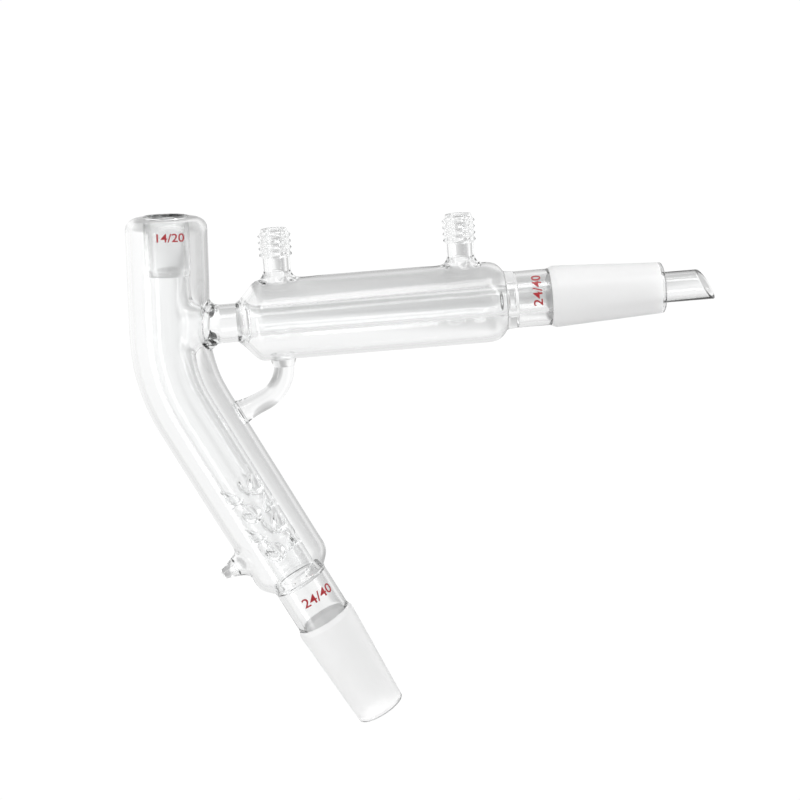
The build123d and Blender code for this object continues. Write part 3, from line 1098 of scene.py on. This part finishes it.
class HEAD_OT_numerals(bpy.types.Operator):
    """Fires the joint sizes onto the glass"""

    bl_idname = "head.numerals"
    bl_label = "Size numerals"

    def execute(self, context):
        up = Vector((0, 0, 1))
        numerals("flask_size_print", "24/40", up * 13 * MM, up, NECK_R, 3.9 * MM,
                 math.radians(20))
        numerals("socket_size_print", "14/20", CROSSING + UP * 36 * MM, UP, JACKET_R, 3.2 * MM,
                 math.radians(6.3))
        numerals("receiver_size_print", "24/40", CROSSING + ALONG * 142 * MM, -ALONG, NECK_R,
                 3.6 * MM, math.radians(25))
        return {"FINISHED"}


class HEAD_OT_stage(bpy.types.Operator):
    """Sets the camera, the backdrop, the lights and the floor"""

    bl_idname = "head.stage"
    bl_label = "Studio"

    def execute(self, context):
        studio = context.scene.head_studio
        add_camera(studio)
        add_world(studio)
        add_floor(studio)
        add_lights()
        return {"FINISHED"}


CAMERA_AIM = Vector((0.07068, 0, 0.06135))
WHITE = 1.02


def add_camera(studio):
    """The camera, turned about its own line of sight."""
    turn, height = studio.camera_turn, studio.camera_height
    back = Vector((math.sin(turn) * math.cos(height), -math.cos(turn) * math.cos(height),
                   math.sin(height)))
    camera = placed("camera", bpy.data.cameras.new("camera"))
    camera.data.lens = studio.camera_lens
    camera.data.sensor_width = 36
    camera.data.clip_start, camera.data.clip_end = 0.01, 50
    camera.location = CAMERA_AIM + back * studio.camera_distance
    facing = (-back).to_track_quat("-Z", "Y").to_matrix().to_4x4()
    roll = Matrix.Rotation(-studio.camera_roll, 4, "Z")
    camera.rotation_euler = (facing @ roll).to_euler()
    bpy.context.scene.camera = camera


def dot(tree, where, direction):
    """The cosine between the direction that a ray goes and a fixed direction."""
    product = tree.nodes.new("ShaderNodeVectorMath")
    product.operation = "DOT_PRODUCT"
    product.inputs[1].default_value = direction
    tree.links.new(where.outputs["Generated"], product.inputs[0])
    return product.outputs["Value"]


def ramp(tree, value, stops):
    """Brightness over a cosine, from (angle in degrees, brightness) stops."""
    part = add_node(tree, "ShaderNodeMapRange", {"From Min": -1})
    tree.links.new(value, part.inputs["Value"])
    tone = tree.nodes.new("ShaderNodeValToRGB")
    tone.color_ramp.interpolation = "EASE"
    elements = tone.color_ramp.elements
    while len(elements) < len(stops):
        elements.new(0.5)
    for element, (angle, brightness) in zip(elements, reversed(stops)):
        element.position = (1 + math.cos(math.radians(angle))) / 2
        element.color = (brightness, brightness, brightness, 1)
    tree.links.new(part.outputs["Result"], tone.inputs["Fac"])
    return tone.outputs["Color"]


# The studio that the glass sees: brightness at angles, in degrees, from straight behind the head,
# from its right side and from the socket's axis
INTO = (0, 1, 0)
ROUND_STOPS = ((0, 0.8), (13, 0.8), (22, 0.86), (36, 0.79), (58, 0.86), (78, 1), (100, 1), (140, 0.95))
SIDE = (0.97, 0, 0.242)
SIDE_STOPS = ((50, 0.95), (84, 0.48), (88, 0.56), (92.4, 0.7), (96, 1.0))
RISE_STOPS = ((40, 1.0), (90, 1.0), (130, 0.8))


def add_world(studio):
    """A white backdrop for the camera, and a softly shaded studio that only the glass sees."""
    world = bpy.data.worlds.new("studio")
    world.use_nodes = True
    bpy.context.scene.world = world
    tree = world.node_tree
    tree.nodes.clear()
    where = tree.nodes.new("ShaderNodeTexCoord")
    shade = ramp(tree, dot(tree, where, INTO), ROUND_STOPS)
    for direction, stops in ((SIDE, SIDE_STOPS), (UP, RISE_STOPS)):
        both = tree.nodes.new("ShaderNodeVectorMath")
        both.operation = "MULTIPLY"
        tree.links.new(shade, both.inputs[0])
        tree.links.new(ramp(tree, dot(tree, where, direction), stops), both.inputs[1])
        shade = both.outputs["Vector"]
    studio_light = add_node(tree, "ShaderNodeBackground", {"Strength": studio.backdrop})
    tree.links.new(shade, studio_light.inputs["Color"])
    white = add_node(tree, "ShaderNodeBackground", {"Color": (1, 1, 1, 1), "Strength": WHITE})
    path = tree.nodes.new("ShaderNodeLightPath")
    choose = tree.nodes.new("ShaderNodeMixShader")
    output = tree.nodes.new("ShaderNodeOutputWorld")
    tree.links.new(path.outputs["Is Camera Ray"], choose.inputs[0])
    tree.links.new(studio_light.outputs[0], choose.inputs[1])
    tree.links.new(white.outputs[0], choose.inputs[2])
    tree.links.new(choose.outputs[0], output.inputs["Surface"])
    scene = bpy.context.scene
    scene.view_settings.view_transform = "Standard"
    scene.cycles.sample_clamp_indirect = 3
    scene.cycles.max_bounces = 40
    scene.cycles.transmission_bounces = 40
    scene.cycles.glossy_bounces = 16
    scene.cycles.diffuse_bounces = 16
    scene.cycles.transparent_max_bounces = 12


def add_floor(studio):
    """A pale floor well below the head."""
    bm = bmesh.new()
    bmesh.ops.create_circle(bm, cap_ends=True, segments=96, radius=3,
                            matrix=Matrix.Translation((0, 0, -studio.floor_depth)))
    mesh = bpy.data.meshes.new("floor")
    bm.to_mesh(mesh)
    bm.free()
    floor = placed("floor", mesh)
    material, tree, output = new_material("pale_floor")
    glow = add_node(tree, "ShaderNodeEmission", {"Strength": WHITE})
    tree.links.new(glow.outputs["Emission"], output.inputs["Surface"])
    mesh.materials.append(material)
    floor.visible_diffuse = floor.visible_glossy = floor.visible_transmission = False
    floor.visible_shadow = False


def add_lights():
    """Soft boxes whose reflections run along the tubes."""
    for name, direction, wide, tall, power in (
        ("left_soft_box", Vector((-0.85, -0.5, 0.1)), 0.3, 1.2, 4),
        ("right_soft_box", Vector((0.8, -0.55, 0.35)), 0.25, 1.0, 3),
        ("top_soft_box", Vector((0.45, -0.5, 0.8)), 1.2, 0.3, 4),
    ):
        light = bpy.data.lights.new(name, "AREA")
        light.shape = "RECTANGLE"
        light.size, light.size_y = wide, tall
        light.energy = power
        lamp = placed(name, light)
        lamp.location = direction.normalized() * 1.2 + Vector((0.07, 0, 0.08))
        lamp.rotation_euler = direction.to_track_quat("Z", "Y").to_euler()
        lamp.visible_camera = False


PIECE_OPERATORS = (
    HEAD_OT_flask_cone,
    HEAD_OT_column_jacket,
    HEAD_OT_column_tube,
    HEAD_OT_thermometer_socket,
    HEAD_OT_side_arm,
    HEAD_OT_condenser,
    HEAD_OT_receiver_cone,
    HEAD_OT_hose_connections,
    HEAD_OT_bridge_rod,
    HEAD_OT_numerals,
    HEAD_OT_stage,
)


class HEAD_PT_glassware(bpy.types.Panel):
    """Lists the pieces and what can be changed about them"""

    bl_label = "Distillation Head"
    bl_idname = "HEAD_PT_glassware"
    bl_space_type = "VIEW_3D"
    bl_region_type = "UI"
    bl_category = "Glassware"

    def draw(self, context):
        for group in (context.scene.head_sizes, context.scene.head_finish, context.scene.head_studio):
            column = self.layout.column()
            for name in group.bl_rna.properties.keys():
                if name not in ("rna_type", "name"):
                    column.prop(group, name)
        for operator in PIECE_OPERATORS:
            self.layout.operator(operator.bl_idname)


CLASSES = (HeadSizes, HeadFinish, StudioSettings, *PIECE_OPERATORS, HEAD_PT_glassware)


def register():
    """Adds the classes and the settings."""
    for cls in CLASSES:
        bpy.utils.register_class(cls)
    bpy.types.Scene.head_sizes = PointerProperty(type=HeadSizes)
    bpy.types.Scene.head_finish = PointerProperty(type=HeadFinish)
    bpy.types.Scene.head_studio = PointerProperty(type=StudioSettings)


def unregister():
    """Takes them away again."""
    del bpy.types.Scene.head_studio
    del bpy.types.Scene.head_finish
    del bpy.types.Scene.head_sizes
    for cls in reversed(CLASSES):
        bpy.utils.unregister_class(cls)


def main():
    """Builds everything in order."""
    register()
    for operator in PIECE_OPERATORS:
        group, name = operator.bl_idname.split(".")
        getattr(getattr(bpy.ops, group), name)()
    bpy.context.view_layer.update()


if __name__ == "__main__":
    main()
